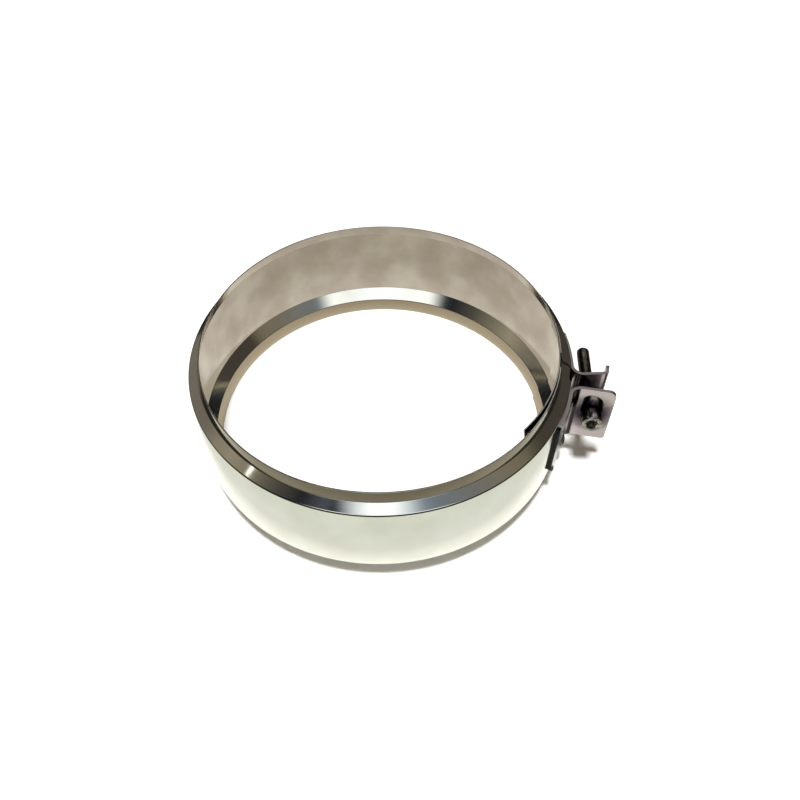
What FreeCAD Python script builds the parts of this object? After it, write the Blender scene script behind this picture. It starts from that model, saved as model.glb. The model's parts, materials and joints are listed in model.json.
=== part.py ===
import FreeCAD, Part
import math
import os
import Sketcher
from FreeCAD import Placement, Rotation, Vector

# Exhaust band clamp: a rolled channel band, split once, that pulls two flanged pipe ends together.
# Frame: millimetres, +Z along the pipe. The origin is on the pipe axis, half way up the band,
# and the middle of the split is on +X. The near lug stands on the -Y side, the far lug on +Y.

doc = FreeCAD.newDocument("exhaust_band_clamp")

# Driving dimensions, in millimetres and degrees
SIZES = [
    ("band_height", 58.0, "band, from its lower to its upper edge"),
    ("web_radius", 87.5, "outer radius of the band's cylindrical web"),
    ("band_sheet", 0.6, "thickness of the band's stainless sheet"),
    ("band_fold", 1.2, "radius on the outside of the tight folds between web, steps and lips"),
    ("upper_lip_height", 5.1, "upper lip, measured along the pipe"),
    ("upper_lip_lean", 1.15, "how far the upper lip leans inwards"),
    ("upper_step_height", 2.95, "upper step between web and lip, along the pipe"),
    ("upper_step_depth", 4.55, "upper step, towards the axis"),
    ("lower_lip_height", 5.7, "lower lip, measured along the pipe"),
    ("lower_lip_lean", 1.7, "how far the lower lip leans inwards"),
    ("lower_step_height", 5.1, "lower step between web and lip, along the pipe"),
    ("lower_step_depth", 5.0, "lower step, towards the axis"),
    ("split_gap", 9.2, "open width between the band's two ends"),
    ("weld_gap", 0.05, "play between sheets that are spot-welded together"),
    ("bridge_sheet", 0.6, "thickness of the bridge inside the split"),
    ("bridge_weld_length", 24.4, "part of the bridge that is welded into the far end"),
    ("bridge_free_length", 53.5, "part of the bridge that slides along the near end"),
    ("bridge_tightening", 9.6, "how much tighter the free part is rolled than the band"),
    ("lug_height", 33.2, "both lugs, measured along the pipe"),
    ("lug_middle", 30.85, "middle of the lugs above the band's lower edge"),
    ("lug_sheet", 1.5, "thickness of the lugs"),
    ("lug_fold", 4.2, "inner radius of the fold between foot and plate"),
    ("foot_corner", 2.0, "rounding at the free end of each foot"),
    ("near_lean", 2.5, "angle by which the near plate leans away from the split"),
    ("near_reach", 21.0, "near plate, from the web to its outer edge"),
    ("near_foot_turn", 20.0, "angle from the split's middle to the end of the near foot"),
    ("near_top_corner", 3.5, "rounding of the near plate's upper corner"),
    ("near_bottom_corner", 1.5, "rounding of the near plate's lower corner"),
    ("far_lean", 11.0, "angle by which the far plate leans away from the split"),
    ("far_overhang", 3.5, "how far the far plate stands over the split"),
    ("far_foot_turn", 19.0, "angle from the split's middle to the end of the far foot"),
    ("return_angle", 75.0, "angle by which the far plate's outer edge is turned back"),
    ("return_length", 6.2, "turned back lip, from its outer corner to its end"),
    ("return_fold", 0.5, "inner radius of the turned back lip"),
    ("return_corner", 2.0, "rounding of the turned back lip's corners"),
    ("screw_tilt", 5.5, "angle between the screw and the Y axis"),
    ("screw_reach", 11.7, "screw axis, from the web along the near plate"),
    ("screw_level", 31.6, "screw axis above the band's lower edge"),
    ("screw_diameter", 6.0, "thread M6, outer diameter"),
    ("screw_length", 40.0, "screw, from under its head to its tip"),
    ("head_diameter", 10.0, "socket head"),
    ("head_height", 6.0, "socket head"),
    ("head_bevel", 0.5, "bevel around the head's outer face"),
    ("socket_width", 5.0, "hexagon socket, across flats"),
    ("socket_depth", 3.0, "hexagon socket"),
    ("tip_bevel", 0.9, "bevel at the screw's tip"),
    ("lug_hole", 7.0, "diameter of the holes in the two plates"),
    ("nut_width", 10.0, "hexagon nut, across flats"),
    ("nut_height", 5.0, "hexagon nut"),
    ("nut_bevel", 0.5, "height of the bevel on the nut's six corners"),
    ("nut_side_gap", 0.3, "play between the nut and the turned back lip"),
    ("thread_play", 0.05, "radial play between the nut's bore and the screw"),
    ("seat_play", 0.05, "play between a plate and the screw head or nut that rests on it"),
]

sheet = doc.addObject("Spreadsheet::Sheet", "Sizes")
for row, (alias, value, note) in enumerate(SIZES, start=1):
    sheet.set(f"A{row}", alias)
    sheet.set(f"B{row}", str(value))
    sheet.set(f"C{row}", note)
    sheet.setAlias(f"B{row}", alias)
doc.recompute()


def cell(alias):
    """The expression that reads one driving dimension."""
    return f"Sizes.{alias}"


def angle(alias):
    """The expression that reads one driving angle, for sine and cosine."""
    return f"(Sizes.{alias} * 1 deg)"


def number(expression):
    """The value of an expression, as a plain number."""
    value = sheet.evalExpression(expression)
    return float(getattr(value, "Value", value))


# Where the pieces meet, written as expressions of the driving dimensions.
# A plate's root is where its face on the split's side crosses the web. The screw crosses the same
# faces at its two pierce points.
HALF_SPLIT = "Sizes.split_gap / 2"
HALF_SPLIT_TURN = f"asin({HALF_SPLIT} / Sizes.web_radius)"
FAR_ROOT_Y = f"({HALF_SPLIT} - Sizes.far_overhang)"
FAR_ROOT_X = f"sqrt(Sizes.web_radius^2 - {FAR_ROOT_Y}^2)"
NEAR_ROOT_X = f"sqrt(Sizes.web_radius^2 - ({HALF_SPLIT})^2)"
NEAR_PIERCE_X = f"({NEAR_ROOT_X} + Sizes.screw_reach * cos({angle('near_lean')}))"
NEAR_PIERCE_Y = f"(-{HALF_SPLIT} - Sizes.screw_reach * sin({angle('near_lean')}))"
NEAR_SKEW = "((Sizes.near_lean + Sizes.screw_tilt) * 1 deg)"
FAR_SKEW = "((Sizes.far_lean - Sizes.screw_tilt) * 1 deg)"
SPAN_X = f"({NEAR_PIERCE_X} - {FAR_ROOT_X})"
SPAN_Y = f"({NEAR_PIERCE_Y} - {FAR_ROOT_Y})"
FAR_SCREW_REACH = (f"(({SPAN_X} * cos({angle('screw_tilt')}) + {SPAN_Y} * sin({angle('screw_tilt')}))"
                   f" / cos({FAR_SKEW}))")
PLATE_SPAN = (f"(({SPAN_X} * sin({angle('far_lean')}) - {SPAN_Y} * cos({angle('far_lean')}))"
              f" / cos({FAR_SKEW}))")
FAR_REACH = (f"({FAR_SCREW_REACH} + Sizes.nut_width / 2 + Sizes.nut_side_gap"
             f" + Sizes.lug_sheet * tan({angle('return_angle')} / 2))")
HEAD_STAND_OFF = (f"(Sizes.lug_sheet / cos({NEAR_SKEW}) + Sizes.head_diameter / 2 * tan({NEAR_SKEW})"
                  " + Sizes.seat_play)")
NUT_STAND_OFF = (f"({PLATE_SPAN} + Sizes.lug_sheet / cos({FAR_SKEW})"
                 f" + Sizes.nut_width / 2 * tan({FAR_SKEW}) + Sizes.seat_play)")
LUG_LEVEL = "Sizes.lug_middle - Sizes.band_height / 2"
SCREW_LEVEL = "Sizes.screw_level - Sizes.band_height / 2"


def new_body(label):
    """An empty body whose label names its file."""
    body = doc.addObject("PartDesign::Body", label)
    body.Label = label
    return body


def new_sketch(body, name, role):
    """A sketch on one of the body's own origin planes."""
    sketch = body.newObject("Sketcher::SketchObject", name)
    plane = next(item for item in body.Origin.OriginFeatures if item.Role == role)
    sketch.AttachmentSupport = (plane, [""])
    sketch.MapMode = "FlatFace"
    return sketch


def dimension(sketch, name, kind, places, expression):
    """A named dimension of a sketch, bound to an expression."""
    value = number(expression)
    if kind == "Angle":
        value = math.radians(value)
    index = sketch.addConstraint(Sketcher.Constraint(kind, *places, value))
    sketch.renameConstraint(index, name)
    sketch.setExpression(f"Constraints.{name}", expression)


def constrain(sketch, kind, *places):
    """A geometric relation between parts of a sketch."""
    sketch.addConstraint(Sketcher.Constraint(kind, *places))


def add_line(sketch, start, end, construction=False):
    """A straight line, by its two ends."""
    return sketch.addGeometry(Part.LineSegment(start, end), construction)


def add_arc(sketch, centre, radius, start, end, left):
    """An arc from start to end, turning left or right, with the vertex numbers of its two ends."""
    circle = Part.Circle(centre, Vector(0, 0, 1), radius)
    first, last = (start, end) if left else (end, start)
    turn_first = math.atan2(first.y - centre.y, first.x - centre.x)
    turn_last = math.atan2(last.y - centre.y, last.x - centre.x)
    while turn_last < turn_first:
        turn_last += 2 * math.pi
    index = sketch.addGeometry(Part.ArcOfCircle(circle, turn_first, turn_last), False)
    return (index, 1, 2) if left else (index, 2, 1)


def add_construction_path(sketch, corners):
    """Construction lines through corners that are given as pairs of expressions."""
    points = [Vector(number(x), number(y), 0) for x, y in corners]
    lines = [add_line(sketch, a, b, True) for a, b in zip(points, points[1:])]
    for index, (x, y) in enumerate(corners):
        place = (lines[index], 1) if index < len(lines) else (lines[-1], 2)
        if 0 < index < len(lines):
            constrain(sketch, "Coincident", lines[index - 1], 2, lines[index], 1)
        dimension(sketch, f"corner_{index}_across", "DistanceX", (-1, 1, *place), x)
        if y == "0":
            constrain(sketch, "PointOnObject", *place, -1)
        else:
            dimension(sketch, f"corner_{index}_along", "DistanceY", (-1, 1, *place), y)
    return points, lines


def add_sheet_face(sketch, face, points, path, offset, fold, rounds_left):
    """One face of a tightly folded sheet: lines beside the path at an offset to its left.

    On the outside of a fold the lines are joined by a tangent arc, on its inside they meet in a
    crease. rounds_left says whether this face is on the outside where the path turns left.
    """
    shift = number(offset)
    steps = [(b - a).normalize() for a, b in zip(points, points[1:])]
    normals = [Vector(-step.y, step.x, 0) for step in steps]
    starts = [points[0] + normals[0] * shift]
    ends = []
    arcs = {}
    for index in range(1, len(points) - 1):
        before, after = normals[index - 1], normals[index]
        bisector = (before + after) / (1 + before.dot(after))
        corner = points[index] + bisector * shift
        turns_left = steps[index - 1].cross(steps[index]).z > 0
        reach = 0
        if turns_left == rounds_left:
            radius = number(fold)
            reach = radius * math.tan(steps[index - 1].getAngle(steps[index]) / 2)
            centre = corner + bisector * (radius if turns_left else -radius)
            arcs[index] = (centre, radius, turns_left)
        ends.append(corner - steps[index - 1] * reach)
        starts.append(corner + steps[index] * reach)
    ends.append(points[-1] + normals[-1] * shift)
    lines = [add_line(sketch, a, b) for a, b in zip(starts, ends)]
    for index, line in enumerate(lines):
        constrain(sketch, "Parallel", path[index], line)
        if shift == 0:
            constrain(sketch, "PointOnObject", line, 1, path[index])
        else:
            dimension(sketch, f"{face}_offset_{index}", "Distance", (line, 1, path[index]), offset)
    for index in range(1, len(lines)):
        if index not in arcs:
            constrain(sketch, "Coincident", lines[index - 1], 2, lines[index], 1)
            continue
        centre, radius, turns_left = arcs[index]
        arc, first, last = add_arc(sketch, centre, radius, ends[index - 1], starts[index], turns_left)
        constrain(sketch, "Tangent", lines[index - 1], 2, arc, first)
        constrain(sketch, "Tangent", arc, last, lines[index], 1)
        dimension(sketch, f"{face}_fold_{index}", "Radius", (arc,), fold)
    return lines, starts[0], ends[-1]


def add_edge(sketch, one, other, path, through):
    """A line between the sheet's two faces, in line with one end of the path."""
    edge = add_line(sketch, one[2], other[2])
    constrain(sketch, "Coincident", one[0], one[1], edge, 1)
    constrain(sketch, "Coincident", other[0], other[1], edge, 2)
    constrain(sketch, "PointOnObject", path, through, edge)
    return edge


def add_cut_edge(sketch, one, other, path, through):
    """The edge of a sheet that is cut square to its faces."""
    edge = add_edge(sketch, one, other, path, through)
    constrain(sketch, "Perpendicular", edge, path)


def add_trimmed_edge(sketch, one, other, path, through):
    """The edge of a lip that is trimmed level after rolling, so that the clamp stands on it."""
    edge = add_edge(sketch, one, other, path, through)
    constrain(sketch, "Horizontal", edge)


def band_corners():
    """The band's outer profile from its lower to its upper edge: lip, step, web, step, lip."""
    lower_lip_top = "Sizes.lower_lip_height"
    lower_web_end = "Sizes.lower_lip_height + Sizes.lower_step_height"
    upper_lip_foot = "Sizes.band_height - Sizes.upper_lip_height"
    upper_web_end = f"{upper_lip_foot} - Sizes.upper_step_height"
    lower_step = "Sizes.web_radius - Sizes.lower_step_depth"
    upper_step = "Sizes.web_radius - Sizes.upper_step_depth"
    return [
        (f"{lower_step} - Sizes.lower_lip_lean", "0"),
        (lower_step, lower_lip_top),
        ("Sizes.web_radius", lower_web_end),
        ("Sizes.web_radius", upper_web_end),
        (upper_step, upper_lip_foot),
        (f"{upper_step} - Sizes.upper_lip_lean", "Sizes.band_height"),
    ]


def add_channel_profile(sketch, outer_offset, inner_offset):
    """The section of a sheet that follows the band's profile between two offsets."""
    points, path = add_construction_path(sketch, band_corners())
    fold = cell("band_fold")
    outer, outer_start, outer_end = add_sheet_face(
        sketch, "outer", points, path, outer_offset, fold, True)
    inner, inner_start, inner_end = add_sheet_face(
        sketch, "inner", points, path, inner_offset, fold, False)
    add_trimmed_edge(sketch, (outer[0], 1, outer_start), (inner[0], 1, inner_start), path[0], 1)
    add_trimmed_edge(sketch, (outer[-1], 2, outer_end), (inner[-1], 2, inner_end), path[-1], 2)
    return path


def revolve(body, name, sketch, axis, turn, reverse=False, both_ways=False):
    """Turn a sketch about an axis by an angle that is bound to an expression."""
    feature = body.newObject("PartDesign::Revolution", name)
    feature.Profile = sketch
    feature.ReferenceAxis = (sketch, [axis])
    feature.Midplane = both_ways
    feature.Reversed = reverse
    feature.Angle = number(turn)
    feature.setExpression("Angle", turn)
    doc.recompute()
    return feature


def round_edges(body, name, base, edges, radius):
    """Round the named edges of the body's last feature."""
    feature = body.newObject("PartDesign::Fillet", name)
    feature.Base = (base, edges)
    feature.Radius = number(radius)
    feature.setExpression("Radius", radius)
    doc.recompute()
    return feature


def edges_across_sheet(shape, thickness, near_point, count):
    """Names of the short straight edges, as long as the sheet is thick, nearest to a point."""
    found = []
    for index, edge in enumerate(shape.Edges, start=1):
        straight = edge.Curve.TypeId == "Part::GeomLine"
        if straight and abs(edge.Length - thickness) < thickness / 20:
            found.append(((edge.CenterOfMass - near_point).Length, f"Edge{index}"))
    return [name for _, name in sorted(found)[:count]]


def make_band():
    """The band: one rolled stainless sheet with a web, two steps and two lips, split at +X."""
    body = new_body("band")
    sketch = new_sketch(body, "band_profile", "XZ_Plane")
    add_channel_profile(sketch, "0", cell("band_sheet"))
    revolve(body, "band_ring", sketch, "V_Axis", f"360 deg - 2 * {HALF_SPLIT_TURN}", both_ways=True)
    body.Placement = Placement(Vector(0, 0, 0), Rotation(Vector(0, 0, 1), 180))
    body.setExpression("Placement.Base.z", "-Sizes.band_height / 2")
    return body


def make_bridge():
    """The bridge: a short length of the same channel, nested inside the band across the split.

    It is welded into the far end. Past the split it is rolled a little tighter, so that it
    stays inside the near end and slides along it as the band closes.
    """
    body = new_body("bridge")
    sketch = new_sketch(body, "bridge_profile", "XZ_Plane")
    outside = "Sizes.band_sheet + Sizes.weld_gap"
    path = add_channel_profile(sketch, outside, f"{outside} + Sizes.bridge_sheet")
    free_centre = Vector(number(cell("bridge_tightening")), 0, 0)
    free_axis_top = free_centre + Vector(0, number(cell("band_height")), 0)
    free_axis = add_line(sketch, free_centre, free_axis_top, True)
    constrain(sketch, "Vertical", free_axis)
    constrain(sketch, "PointOnObject", free_axis, 1, -1)
    dimension(sketch, "free_axis_offset", "DistanceX", (-1, 1, free_axis, 1),
              cell("bridge_tightening"))
    dimension(sketch, "free_axis_height", "DistanceY", (free_axis, 1, free_axis, 2),
              cell("band_height"))
    revolve(body, "welded_part", sketch, "V_Axis",
            "Sizes.bridge_weld_length / Sizes.web_radius * 180 / pi")
    revolve(body, "free_part", sketch, f"Axis{len(path)}",
            "Sizes.bridge_free_length / (Sizes.web_radius - Sizes.bridge_tightening) * 180 / pi",
            reverse=True)
    body.Placement = Placement(Vector(0, 0, 0), Rotation(Vector(0, 0, 1), 3))
    body.setExpression("Placement.Rotation.Angle", HALF_SPLIT_TURN)
    body.setExpression("Placement.Base.z", "-Sizes.band_height / 2")
    return body


class LugSection:
    """Section of a lug, seen along the pipe: a foot on the web, a fold and a standing plate.

    side is 1 for the far lug and -1 for the near one, which is drawn as its mirror image.
    """

    def __init__(self, sketch, side, root_y, lean, foot_turn, reach):
        self.sketch = sketch
        self.side = side
        self.root_y = root_y
        self.lean = lean
        self.foot_turn = foot_turn
        self.reach = reach
        lean_angle = number(lean) * math.pi / 180
        self.along = Vector(math.cos(lean_angle), math.sin(lean_angle), 0)
        self.across = Vector(-self.along.y, self.along.x, 0)
        radius = number(cell("web_radius"))
        root = number(root_y)
        self.root = Vector(math.sqrt(radius ** 2 - root ** 2), root, 0)
        self.thickness = number(cell("lug_sheet"))

    def flip(self, point):
        """Mirror a point for the near lug."""
        return Vector(point.x, self.side * point.y, 0)

    def line(self, start, end, construction=False):
        return add_line(self.sketch, self.flip(start), self.flip(end), construction)

    def arc(self, centre, radius, start, end, left):
        turns_left = left if self.side > 0 else not left
        return add_arc(self.sketch, self.flip(centre), radius, self.flip(start), self.flip(end),
                       turns_left)

    def draw_plate_path(self):
        """Construction line along the plate's face on the split's side, from the web outwards."""
        length = number(self.reach)
        path = self.line(self.root, self.root + self.along * length, True)
        dimension(self.sketch, "root_radius", "Distance", (-1, 1, path, 1), cell("web_radius"))
        if self.side > 0:
            places = (-1, 1, path, 1)
        else:
            places = (path, 1, -1, 1)
        dimension(self.sketch, "root_offset", "DistanceY", places, self.root_y)
        self.set_direction(path, "plate_lean", self.lean)
        dimension(self.sketch, "plate_reach", "Distance", (path, 1, path, 2), self.reach)
        return path

    def set_direction(self, line, name, expression):
        """Angle between the X axis and a line, measured away from the split."""
        if self.side > 0:
            places = (-1, 1, line, 1)
        else:
            places = (line, 1, -1, 1)
        dimension(self.sketch, name, "Angle", places, expression)

    def draw_foot_and_fold(self, path):
        """The foot, bent to the web's radius, and the fold; returns the plate's two lines."""
        sketch = self.sketch
        inside = number("Sizes.web_radius + Sizes.weld_gap")
        outside = inside + self.thickness
        fold = number(cell("lug_fold"))
        base = self.root + self.across * (fold + self.thickness)
        shift = -base.dot(self.along) + math.sqrt(
            base.dot(self.along) ** 2 - base.dot(base) + (outside + fold) ** 2)
        centre = base + self.along * shift
        spoke = Vector(centre).normalize()
        foot_end = number(self.foot_turn) * math.pi / 180
        end_spoke = Vector(math.cos(foot_end), math.sin(foot_end), 0)
        plate_end = self.root + self.along * number(self.reach)

        front = self.line(centre - self.across * (fold + self.thickness), plate_end)
        back = self.line(centre - self.across * fold, plate_end + self.across * self.thickness)
        outer_fold = self.arc(centre, fold + self.thickness, spoke * inside,
                              centre - self.across * (fold + self.thickness), True)
        inner_fold = self.arc(centre, fold, spoke * outside, centre - self.across * fold, True)
        foot_inner = self.arc(Vector(0, 0, 0), inside, end_spoke * inside, spoke * inside, False)
        foot_outer = self.arc(Vector(0, 0, 0), outside, end_spoke * outside, spoke * outside, False)

        constrain(sketch, "Tangent", path, front)
        constrain(sketch, "Parallel", path, back)
        dimension(sketch, "plate_thickness", "Distance", (back, 1, path), cell("lug_sheet"))
        for foot, fold_arc, plate_line in ((foot_inner, outer_fold, front),
                                           (foot_outer, inner_fold, back)):
            constrain(sketch, "Coincident", foot[0], 3, -1, 1)
            constrain(sketch, "Tangent", foot[0], foot[2], fold_arc[0], fold_arc[1])
            constrain(sketch, "Tangent", fold_arc[0], fold_arc[2], plate_line, 1)
        dimension(sketch, "foot_inner_radius", "Radius", (foot_inner[0],),
                  "Sizes.web_radius + Sizes.weld_gap")
        dimension(sketch, "foot_outer_radius", "Radius", (foot_outer[0],),
                  "Sizes.web_radius + Sizes.weld_gap + Sizes.lug_sheet")
        dimension(sketch, "outer_fold_radius", "Radius", (outer_fold[0],),
                  "Sizes.lug_fold + Sizes.lug_sheet")
        dimension(sketch, "inner_fold_radius", "Radius", (inner_fold[0],), cell("lug_fold"))

        edge = self.line(end_spoke * inside, end_spoke * outside)
        constrain(sketch, "Coincident", foot_inner[0], foot_inner[1], edge, 1)
        constrain(sketch, "Coincident", foot_outer[0], foot_outer[1], edge, 2)
        constrain(sketch, "PointOnObject", -1, 1, edge)
        self.set_direction(edge, "foot_turn", self.foot_turn)
        return front, back, plate_end

    def close_plate(self, front, back, plate_end, path):
        """The plate's plain outer edge."""
        add_cut_edge(self.sketch, (front, 2, self.flip(plate_end)),
                     (back, 2, self.flip(plate_end + self.across * self.thickness)), path, 2)

    def draw_return(self, front, back, corner, path):
        """The outer edge turned back behind the plate, which keeps the nut from turning."""
        sketch = self.sketch
        turn = number(cell("return_angle")) * math.pi / 180
        fold = number(cell("return_fold"))
        length = number(cell("return_length"))
        outward = self.along * math.cos(turn) + self.across * math.sin(turn)
        aside = self.across * math.cos(turn) - self.along * math.sin(turn)
        bisector = (self.across + aside) / (1 + self.across.dot(aside))
        inner_corner = corner + bisector * self.thickness
        centre = corner + bisector * (fold + self.thickness)
        outer_reach = (fold + self.thickness) * math.tan(turn / 2)
        inner_reach = fold * math.tan(turn / 2)
        lip_end = corner + outward * length

        lip_path = self.line(corner, lip_end, True)
        lip_front = self.line(corner + outward * outer_reach, lip_end)
        lip_back = self.line(inner_corner + outward * inner_reach, lip_end + aside * self.thickness)
        outer = self.arc(centre, fold + self.thickness, corner - self.along * outer_reach,
                         corner + outward * outer_reach, True)
        inner = self.arc(centre, fold, inner_corner - self.along * inner_reach,
                         inner_corner + outward * inner_reach, True)
        constrain(sketch, "Coincident", path, 2, lip_path, 1)
        self.set_direction(lip_path, "return_direction", f"{self.lean} + Sizes.return_angle")
        dimension(sketch, "return_length", "Distance", (lip_path, 1, lip_path, 2),
                  cell("return_length"))
        constrain(sketch, "Tangent", lip_path, lip_front)
        constrain(sketch, "Parallel", lip_path, lip_back)
        dimension(sketch, "return_thickness", "Distance", (lip_back, 1, lip_path),
                  cell("lug_sheet"))
        for plate_line, arc, lip_line in ((front, outer, lip_front), (back, inner, lip_back)):
            constrain(sketch, "Tangent", plate_line, 2, arc[0], arc[1])
            constrain(sketch, "Tangent", arc[0], arc[2], lip_line, 1)
        dimension(sketch, "return_outer_fold", "Radius", (outer[0],),
                  "Sizes.return_fold + Sizes.lug_sheet")
        dimension(sketch, "return_inner_fold", "Radius", (inner[0],), cell("return_fold"))
        add_cut_edge(sketch, (lip_front, 2, self.flip(lip_end)),
                     (lip_back, 2, self.flip(lip_end + aside * self.thickness)), lip_path, 2)
        return self.flip(lip_end)


def pad_lug(body, name, sketch):
    """Extend a lug's section up and down from its middle by the lug's height."""
    pad = body.newObject("PartDesign::Pad", name)
    pad.Profile = sketch
    pad.Midplane = True
    pad.Length = number(cell("lug_height"))
    pad.setExpression("Length", cell("lug_height"))
    doc.recompute()
    return pad


def punch_hole(body, name, lean, distance):
    """Punch a plate's screw hole square to the plate, at a distance from the pipe axis."""
    level = "Sizes.screw_level - Sizes.lug_middle"
    sketch = new_sketch(body, f"{name}_circle", "XZ_Plane")
    sketch.AttachmentOffset = Placement(Vector(0, 0, 0), Rotation(Vector(0, 1, 0), number(lean)))
    sketch.setExpression("AttachmentOffset.Rotation.Angle", lean)
    centre = Vector(number(distance), number(level), 0)
    circle = sketch.addGeometry(Part.Circle(centre, Vector(0, 0, 1), number(cell("lug_hole")) / 2))
    dimension(sketch, "axis_distance", "DistanceX", (-1, 1, circle, 3), distance)
    dimension(sketch, "axis_level", "DistanceY", (-1, 1, circle, 3), level)
    dimension(sketch, "hole_diameter", "Diameter", (circle,), cell("lug_hole"))
    before = body.Shape.Volume
    pocket = body.newObject("PartDesign::Pocket", name)
    pocket.Profile = sketch
    pocket.Type = "ThroughAll"
    pocket.Midplane = True
    doc.recompute()
    expected = math.pi / 4 * number(cell("lug_hole")) ** 2 * number(cell("lug_sheet"))
    removed = before - pocket.Shape.Volume
    if abs(removed - expected) > expected / 20:
        raise RuntimeError(f"{name} removed {removed:.1f} mm3 instead of {expected:.1f} mm3")
    return pocket


def corner_point(x, y, top):
    """A point of a lug at its upper or lower edge, in the lug's own frame."""
    half = number(cell("lug_height")) / 2
    return Vector(x, y, half if top else -half)


def round_foot(body, side, foot_turn):
    """Round both corners at the foot's free end."""
    turn = side * number(foot_turn) * math.pi / 180
    radius = number("Sizes.web_radius + Sizes.weld_gap + Sizes.lug_sheet / 2")
    thickness = number(cell("lug_sheet"))
    names = []
    for top in (True, False):
        place = corner_point(radius * math.cos(turn), radius * math.sin(turn), top)
        names += edges_across_sheet(body.Tip.Shape, thickness, place, 1)
    round_edges(body, "foot_rounding", body.Tip, names, cell("foot_corner"))


def make_near_lug():
    """The near lug, which carries the screw head."""
    body = new_body("near_lug")
    sketch = new_sketch(body, "near_lug_section", "XY_Plane")
    section = LugSection(sketch, -1, HALF_SPLIT, cell("near_lean"), cell("near_foot_turn"),
                         cell("near_reach"))
    path = section.draw_plate_path()
    front, back, plate_end = section.draw_foot_and_fold(path)
    section.close_plate(front, back, plate_end, path)
    pad_lug(body, "near_lug_sheet", sketch)
    outer = section.flip(plate_end + section.across * section.thickness / 2)
    for name, top, size in (("top_corner", True, "near_top_corner"),
                            ("bottom_corner", False, "near_bottom_corner")):
        edges = edges_across_sheet(body.Tip.Shape, section.thickness,
                                   corner_point(outer.x, outer.y, top), 1)
        round_edges(body, name, body.Tip, edges, cell(size))
    round_foot(body, -1, cell("near_foot_turn"))
    distance = (f"{NEAR_ROOT_X} * cos({angle('near_lean')})"
                f" + {HALF_SPLIT} * sin({angle('near_lean')}) + Sizes.screw_reach")
    punch_hole(body, "near_hole", "-Sizes.near_lean", distance)
    body.setExpression("Placement.Base.z", LUG_LEVEL)
    return body


def make_far_lug():
    """The far lug, which carries the nut between its foot and its turned back lip."""
    body = new_body("far_lug")
    sketch = new_sketch(body, "far_lug_section", "XY_Plane")
    section = LugSection(sketch, 1, FAR_ROOT_Y, cell("far_lean"), cell("far_foot_turn"), FAR_REACH)
    path = section.draw_plate_path()
    front, back, corner = section.draw_foot_and_fold(path)
    lip_end = section.draw_return(front, back, corner, path)
    pad_lug(body, "far_lug_sheet", sketch)
    edges = []
    for top in (True, False):
        edges += edges_across_sheet(body.Tip.Shape, section.thickness,
                                    corner_point(lip_end.x, lip_end.y, top), 1)
    round_edges(body, "return_rounding", body.Tip, edges, cell("return_corner"))
    round_foot(body, 1, cell("far_foot_turn"))
    distance = (f"{FAR_ROOT_X} * cos({angle('far_lean')})"
                f" + {FAR_ROOT_Y} * sin({angle('far_lean')}) + {FAR_SCREW_REACH}")
    punch_hole(body, "far_hole", "Sizes.far_lean", distance)
    body.setExpression("Placement.Base.z", LUG_LEVEL)
    return body


def add_half_section(body, name, corners):
    """A closed half section beside the Y axis, from corners that are pairs of expressions."""
    sketch = new_sketch(body, name, "XY_Plane")
    points = [Vector(number(x), number(y), 0) for x, y in corners]
    lines = [add_line(sketch, a, b) for a, b in zip(points, points[1:] + points[:1])]
    for index, (x, y) in enumerate(corners):
        constrain(sketch, "Coincident", lines[index - 1], 2, lines[index], 1)
        if x == "0":
            constrain(sketch, "PointOnObject", lines[index], 1, -2)
        else:
            dimension(sketch, f"corner_{index}_radius", "DistanceX", (-1, 1, lines[index], 1), x)
        if y == "0":
            constrain(sketch, "PointOnObject", lines[index], 1, -1)
        else:
            dimension(sketch, f"corner_{index}_place", "DistanceY", (-1, 1, lines[index], 1), y)
    return sketch


def add_hexagon(body, name, width, level):
    """A hexagon around the Y axis with two sides square to X, on a plane at a level along Y."""
    sketch = new_sketch(body, name, "XZ_Plane")
    sketch.AttachmentOffset = Placement(Vector(0, 0, -number(level)), Rotation())
    sketch.setExpression("AttachmentOffset.Base.z", f"-({level})")
    reach = number(width) / 2 / math.cos(math.pi / 6)
    corners = [Vector(reach * math.cos(turn), reach * math.sin(turn), 0)
               for turn in (math.pi / 6 + step * math.pi / 3 for step in range(6))]
    sides = [add_line(sketch, a, b) for a, b in zip(corners, corners[1:] + corners[:1])]
    circle = sketch.addGeometry(Part.Circle(Vector(0, 0, 0), Vector(0, 0, 1), reach), True)
    constrain(sketch, "Coincident", circle, 3, -1, 1)
    for index, side in enumerate(sides):
        constrain(sketch, "Coincident", sides[index - 1], 2, side, 1)
        constrain(sketch, "PointOnObject", side, 1, circle)
        if index:
            constrain(sketch, "Equal", sides[0], side)
    constrain(sketch, "Vertical", sides[5])
    dimension(sketch, "corner_radius", "Radius", (circle,), f"{width} / 2 / cos(30 deg)")
    return sketch


def place_on_screw(body, stand_off):
    """Put a body on the screw's axis, at a distance from where it pierces the near plate."""
    tilt = angle("screw_tilt")
    body.Placement = Placement(Vector(0, 0, 0), Rotation(Vector(0, 0, 1), number(cell("screw_tilt"))))
    body.setExpression("Placement.Rotation.Angle", cell("screw_tilt"))
    body.setExpression("Placement.Base.x", f"{NEAR_PIERCE_X} - {stand_off} * sin({tilt})")
    body.setExpression("Placement.Base.y", f"{NEAR_PIERCE_Y} + {stand_off} * cos({tilt})")
    body.setExpression("Placement.Base.z", SCREW_LEVEL)


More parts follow.
